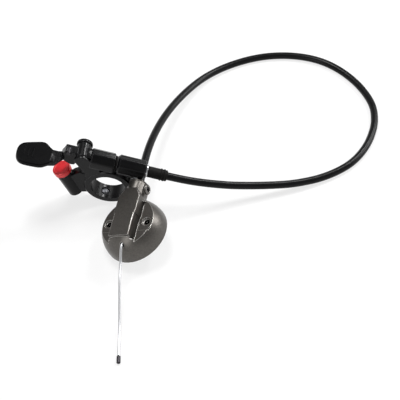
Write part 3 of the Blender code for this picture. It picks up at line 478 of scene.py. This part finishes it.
def make_tail():
    """Trimmed inner wire, out of the cap's front to the crimp on its end."""
    points = [cap_point(x, y, WIRE_EXIT_Z) for x, y in WIRE_INSIDE]
    points += [Vector(point) * MM + STAND for point in TAIL]
    points = smoothed(points, WIRE_STEP)
    tail = tube_curve("inner_wire", points, WIRE_D, WIRE)
    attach(tail, "body")
    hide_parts("wire_tail")
    crimp = dressed("wire_end_crimp")


def make_pad():
    """Thumb pad: a moulded tongue that widens to its far corner and narrows onto the arm, with grip ribs."""
    bm = slab([lever_place(x, y, PAD_LOW) for x, y in PAD_OUTLINE], (PAD_TOP - PAD_LOW) * MM * LEVER_Z)
    flats = [face for face in bm.faces if len(face.verts) > 4]
    for width in (PAD_RIM, PAD_RIM):
        bmesh.ops.inset_individual(bm, faces=flats, thickness=width * MM)
    walls = [edge for edge in bm.edges
             if abs((edge.verts[0].co - edge.verts[1].co).dot(LEVER_Z)) > 1 * MM]
    bmesh.ops.subdivide_edges(bm, edges=walls, cuts=2)
    pad = built("thumb_pad_moulding", bm, FINISH["black_plastic"], "thumb_pad", 2)
    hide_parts("thumb_pad")
    bm = bmesh.new()
    for x, length in RIBS:
        rib = bmesh.ops.create_cube(bm, size=1.0)["verts"]
        bmesh.ops.scale(bm, verts=rib, vec=(RIB_THICK * MM, length * MM, RIB_THICK * MM))
        bmesh.ops.rotate(bm, verts=rib, matrix=Matrix((LEVER_X, LEVER_Y, LEVER_Z)).transposed())
        bmesh.ops.translate(bm, verts=rib, vec=lever_place(x, RIB_MIDDLE, PAD_TOP - RIB_SUNK))
    rounded(bm, bm.edges, RIB_EDGE, 3)
    built("thumb_pad_grip_ribs", bm, FINISH["black_plastic"], "thumb_pad")


def make_neck_lip():
    """Oval lip at the mouth of the cap's neck, round the housing."""
    bm = bmesh.new()
    rims = []
    for radius, upper in ((LIP_R, NECK_Z + LIP_RISE), (LIP_HOLE_R, NECK_Z)):
        turns = [(math.radians(angle), upper) for angle in range(0, 181, LIP_STEP)]
        turns += [(math.radians(angle), NECK_Z) for angle in range(180, 361, LIP_STEP)]
        rims += looped(bm, [cap_point(radius * math.cos(turn), NECK_END - LIP_SUNK,
                                      middle + radius * math.sin(turn)) for turn, middle in turns])
    faces = bmesh.ops.bridge_loops(bm, edges=rims)["faces"]
    pushed(bm, faces, CAP_TURN @ Vector((0, LIP_LONG, 0)))
    built("neck_lip", bm, FINISH["gunmetal_paint"], "fork_cap")


def make_block_nose():
    """Web at the block's left end that follows the lever's hub round with a little air between."""
    arc = [math.radians(angle) for angle in HUB_ARC]
    outline = [(HUB_CLEAR * math.cos(turn), HUB_CLEAR * math.sin(turn)) for turn in arc]
    outline += [(BLOCK_FACE, outline[-1][1]), (BLOCK_FACE, outline[0][1])]
    bm = slab([lever_place(x, WEB_NEAR, z) for x, z in outline], WEB_WIDE * MM * LEVER_Y)
    rounded(bm, [edge for edge in bm.edges if edge.is_manifold and edge.calc_face_angle(0) > 1], WEB_EDGE)
    built("block_nose", bm, FINISH["black_anodised"], "clamp_body")


def make_adjuster_seal():
    """Rubber ring in the gap between the block and the adjuster's knob."""
    bm = bmesh.new()
    centre = lever_place(*SEAL_PLACE)
    edges = looped(bm, [centre + (along * LEVER_X + out * LEVER_Z) * MM for along, out in SEAL_PROFILE])
    bmesh.ops.spin(bm, geom=edges, cent=centre, axis=LEVER_X, angle=2 * math.pi, steps=SEAL_ROUND,
                   use_merge=True)
    built("adjuster_seal", bm, FINISH["black_rubber"], "adjuster_knob")


def make_arm_saddle():
    """Raised facet on the arm behind the pad, sloping down towards the hub."""
    bm = slab([lever_place(x, SADDLE_NEAR, z) for x, z in SADDLE_OUTLINE], SADDLE_WIDE * MM * LEVER_Y)
    rounded(bm, bm.edges, SADDLE_EDGE)
    built("arm_saddle", bm, FINISH["black_anodised"], "lever_arm")


def larger(tree, *values):
    """The largest of some values."""
    total = values[0]
    for value in values[1:]:
        total = add(tree, "ShaderNodeMath", {"operation": "MAXIMUM"}, links={0: total, 1: value})
        total = total.outputs["Value"]
    return total


def times(tree, one, other):
    """Product of two values."""
    return add(tree, "ShaderNodeMath", {"operation": "MULTIPLY"}, links={0: one, 1: other}).outputs["Value"]


def studio_paper():
    """White paper that takes light and shadow near the part and is plain white away from it."""
    material, tree, shader, coords = started("studio_paper", Base_Color=linear("#f4f4f4"), Roughness=0.9,
                                             Specular_IOR_Level=0.0)
    rays = add(tree, "ShaderNodeLightPath").outputs
    shown = larger(tree, rays["Is Camera Ray"], rays["Is Glossy Ray"], rays["Is Transmission Ray"])
    away = add(tree, "ShaderNodeVectorMath", {"operation": "LENGTH"}, links={0: coords}).outputs["Value"]
    share = add(tree, "ShaderNodeMapRange", links={"Value": away},
                values={"From Min": PAPER_NEAR, "From Max": PAPER_FAR, "To Min": PAPER_GLOW, "To Max": 1.0})
    seen = times(tree, shown, share.outputs["Result"])
    glow = add(tree, "ShaderNodeEmission", values={"Color": (1, 1, 1, 1), "Strength": 1.0})
    mixed = add(tree, "ShaderNodeMixShader",
                links={"Fac": seen, 1: shader.outputs["BSDF"], 2: glow.outputs["Emission"]})
    tree.links.new(mixed.outputs["Shader"], tree.nodes["Material Output"].inputs["Surface"])
    return material


def sky_strength(tree):
    """White for the eye and through glass; a mirror sees white low down and a darker ceiling overhead."""
    rays = add(tree, "ShaderNodeLightPath").outputs
    place = add(tree, "ShaderNodeTexCoord").outputs["Generated"]
    height = add(tree, "ShaderNodeSeparateXYZ", links={"Vector": place}).outputs["Z"]
    ceiling = add(tree, "ShaderNodeMapRange", links={"Value": height},
                  values={"From Min": CEILING_LOW, "From Max": CEILING_HIGH, "To Min": 1.0, "To Max": CEILING})
    mirrored = times(tree, rays["Is Glossy Ray"], ceiling.outputs["Result"])
    shown = larger(tree, rays["Is Camera Ray"], rays["Is Transmission Ray"], mirrored)
    return add(tree, "ShaderNodeMath", {"operation": "MAXIMUM"}, {1: AIR_LIGHT}, {0: shown}).outputs["Value"]


def studio():
    """White paper floor under a window-like lamp at the right, one overhead, a narrow one and a weak fill."""
    bm = bmesh.new()
    bmesh.ops.create_grid(bm, x_segments=1, y_segments=1, size=PAPER_SIZE)
    floor = meshed("paper_floor", bm, studio_paper())
    for name, place, size, power in LAMPS:
        lamp = bpy.data.lights.new(name, "AREA")
        lamp.shape = "SQUARE"
        lamp.size = size
        lamp.energy = power
        thing = linked(name, lamp)
        thing.location = place
        thing.rotation_euler = (LAMP_AIM - Vector(place)).to_track_quat("-Z", "Y").to_euler()
    world = bpy.data.worlds.new("studio_air")
    bpy.context.scene.world = world
    world.use_nodes = True
    sky = world.node_tree.nodes["Background"]
    sky.inputs["Color"].default_value = (1, 1, 1, 1)
    world.node_tree.links.new(sky_strength(world.node_tree), sky.inputs["Strength"])
    bpy.context.scene.view_settings.view_transform = "Standard"


def photo_camera():
    """Camera of the photograph, looking along +Y and down by its tilt from the vertical."""
    data = bpy.data.cameras.new("camera")
    data.sensor_width = CAMERA_SENSOR
    data.lens = CAMERA_LENS
    camera = linked("camera", data)
    camera.location = CAMERA_PLACE
    camera.rotation_euler = (CAMERA_TILT, 0, 0)
    bpy.context.scene.camera = camera


photo_camera()
make_housing()
make_tail()
make_pad()
make_neck_lip()
make_block_nose()
make_adjuster_seal()
make_arm_saddle()
dressed("cable_nipple", FINISH["dark_steel"])
dressed("clamp_screw", ZINC)
for node in ("clamp_body", "pivot_screw", "pivot_bush", "lever_arm", "button_cap", "button_stem",
             "button_spring", "adjuster_knob", "adjuster_screw", "adjuster_collar", "housing_boot",
             "neck_ferrule", "fork_cap", "pinch_bolt", "cable_spool", "spool_grub_screw", "spool_spring",
             "base_plate"):
    dressed(node)
studio()
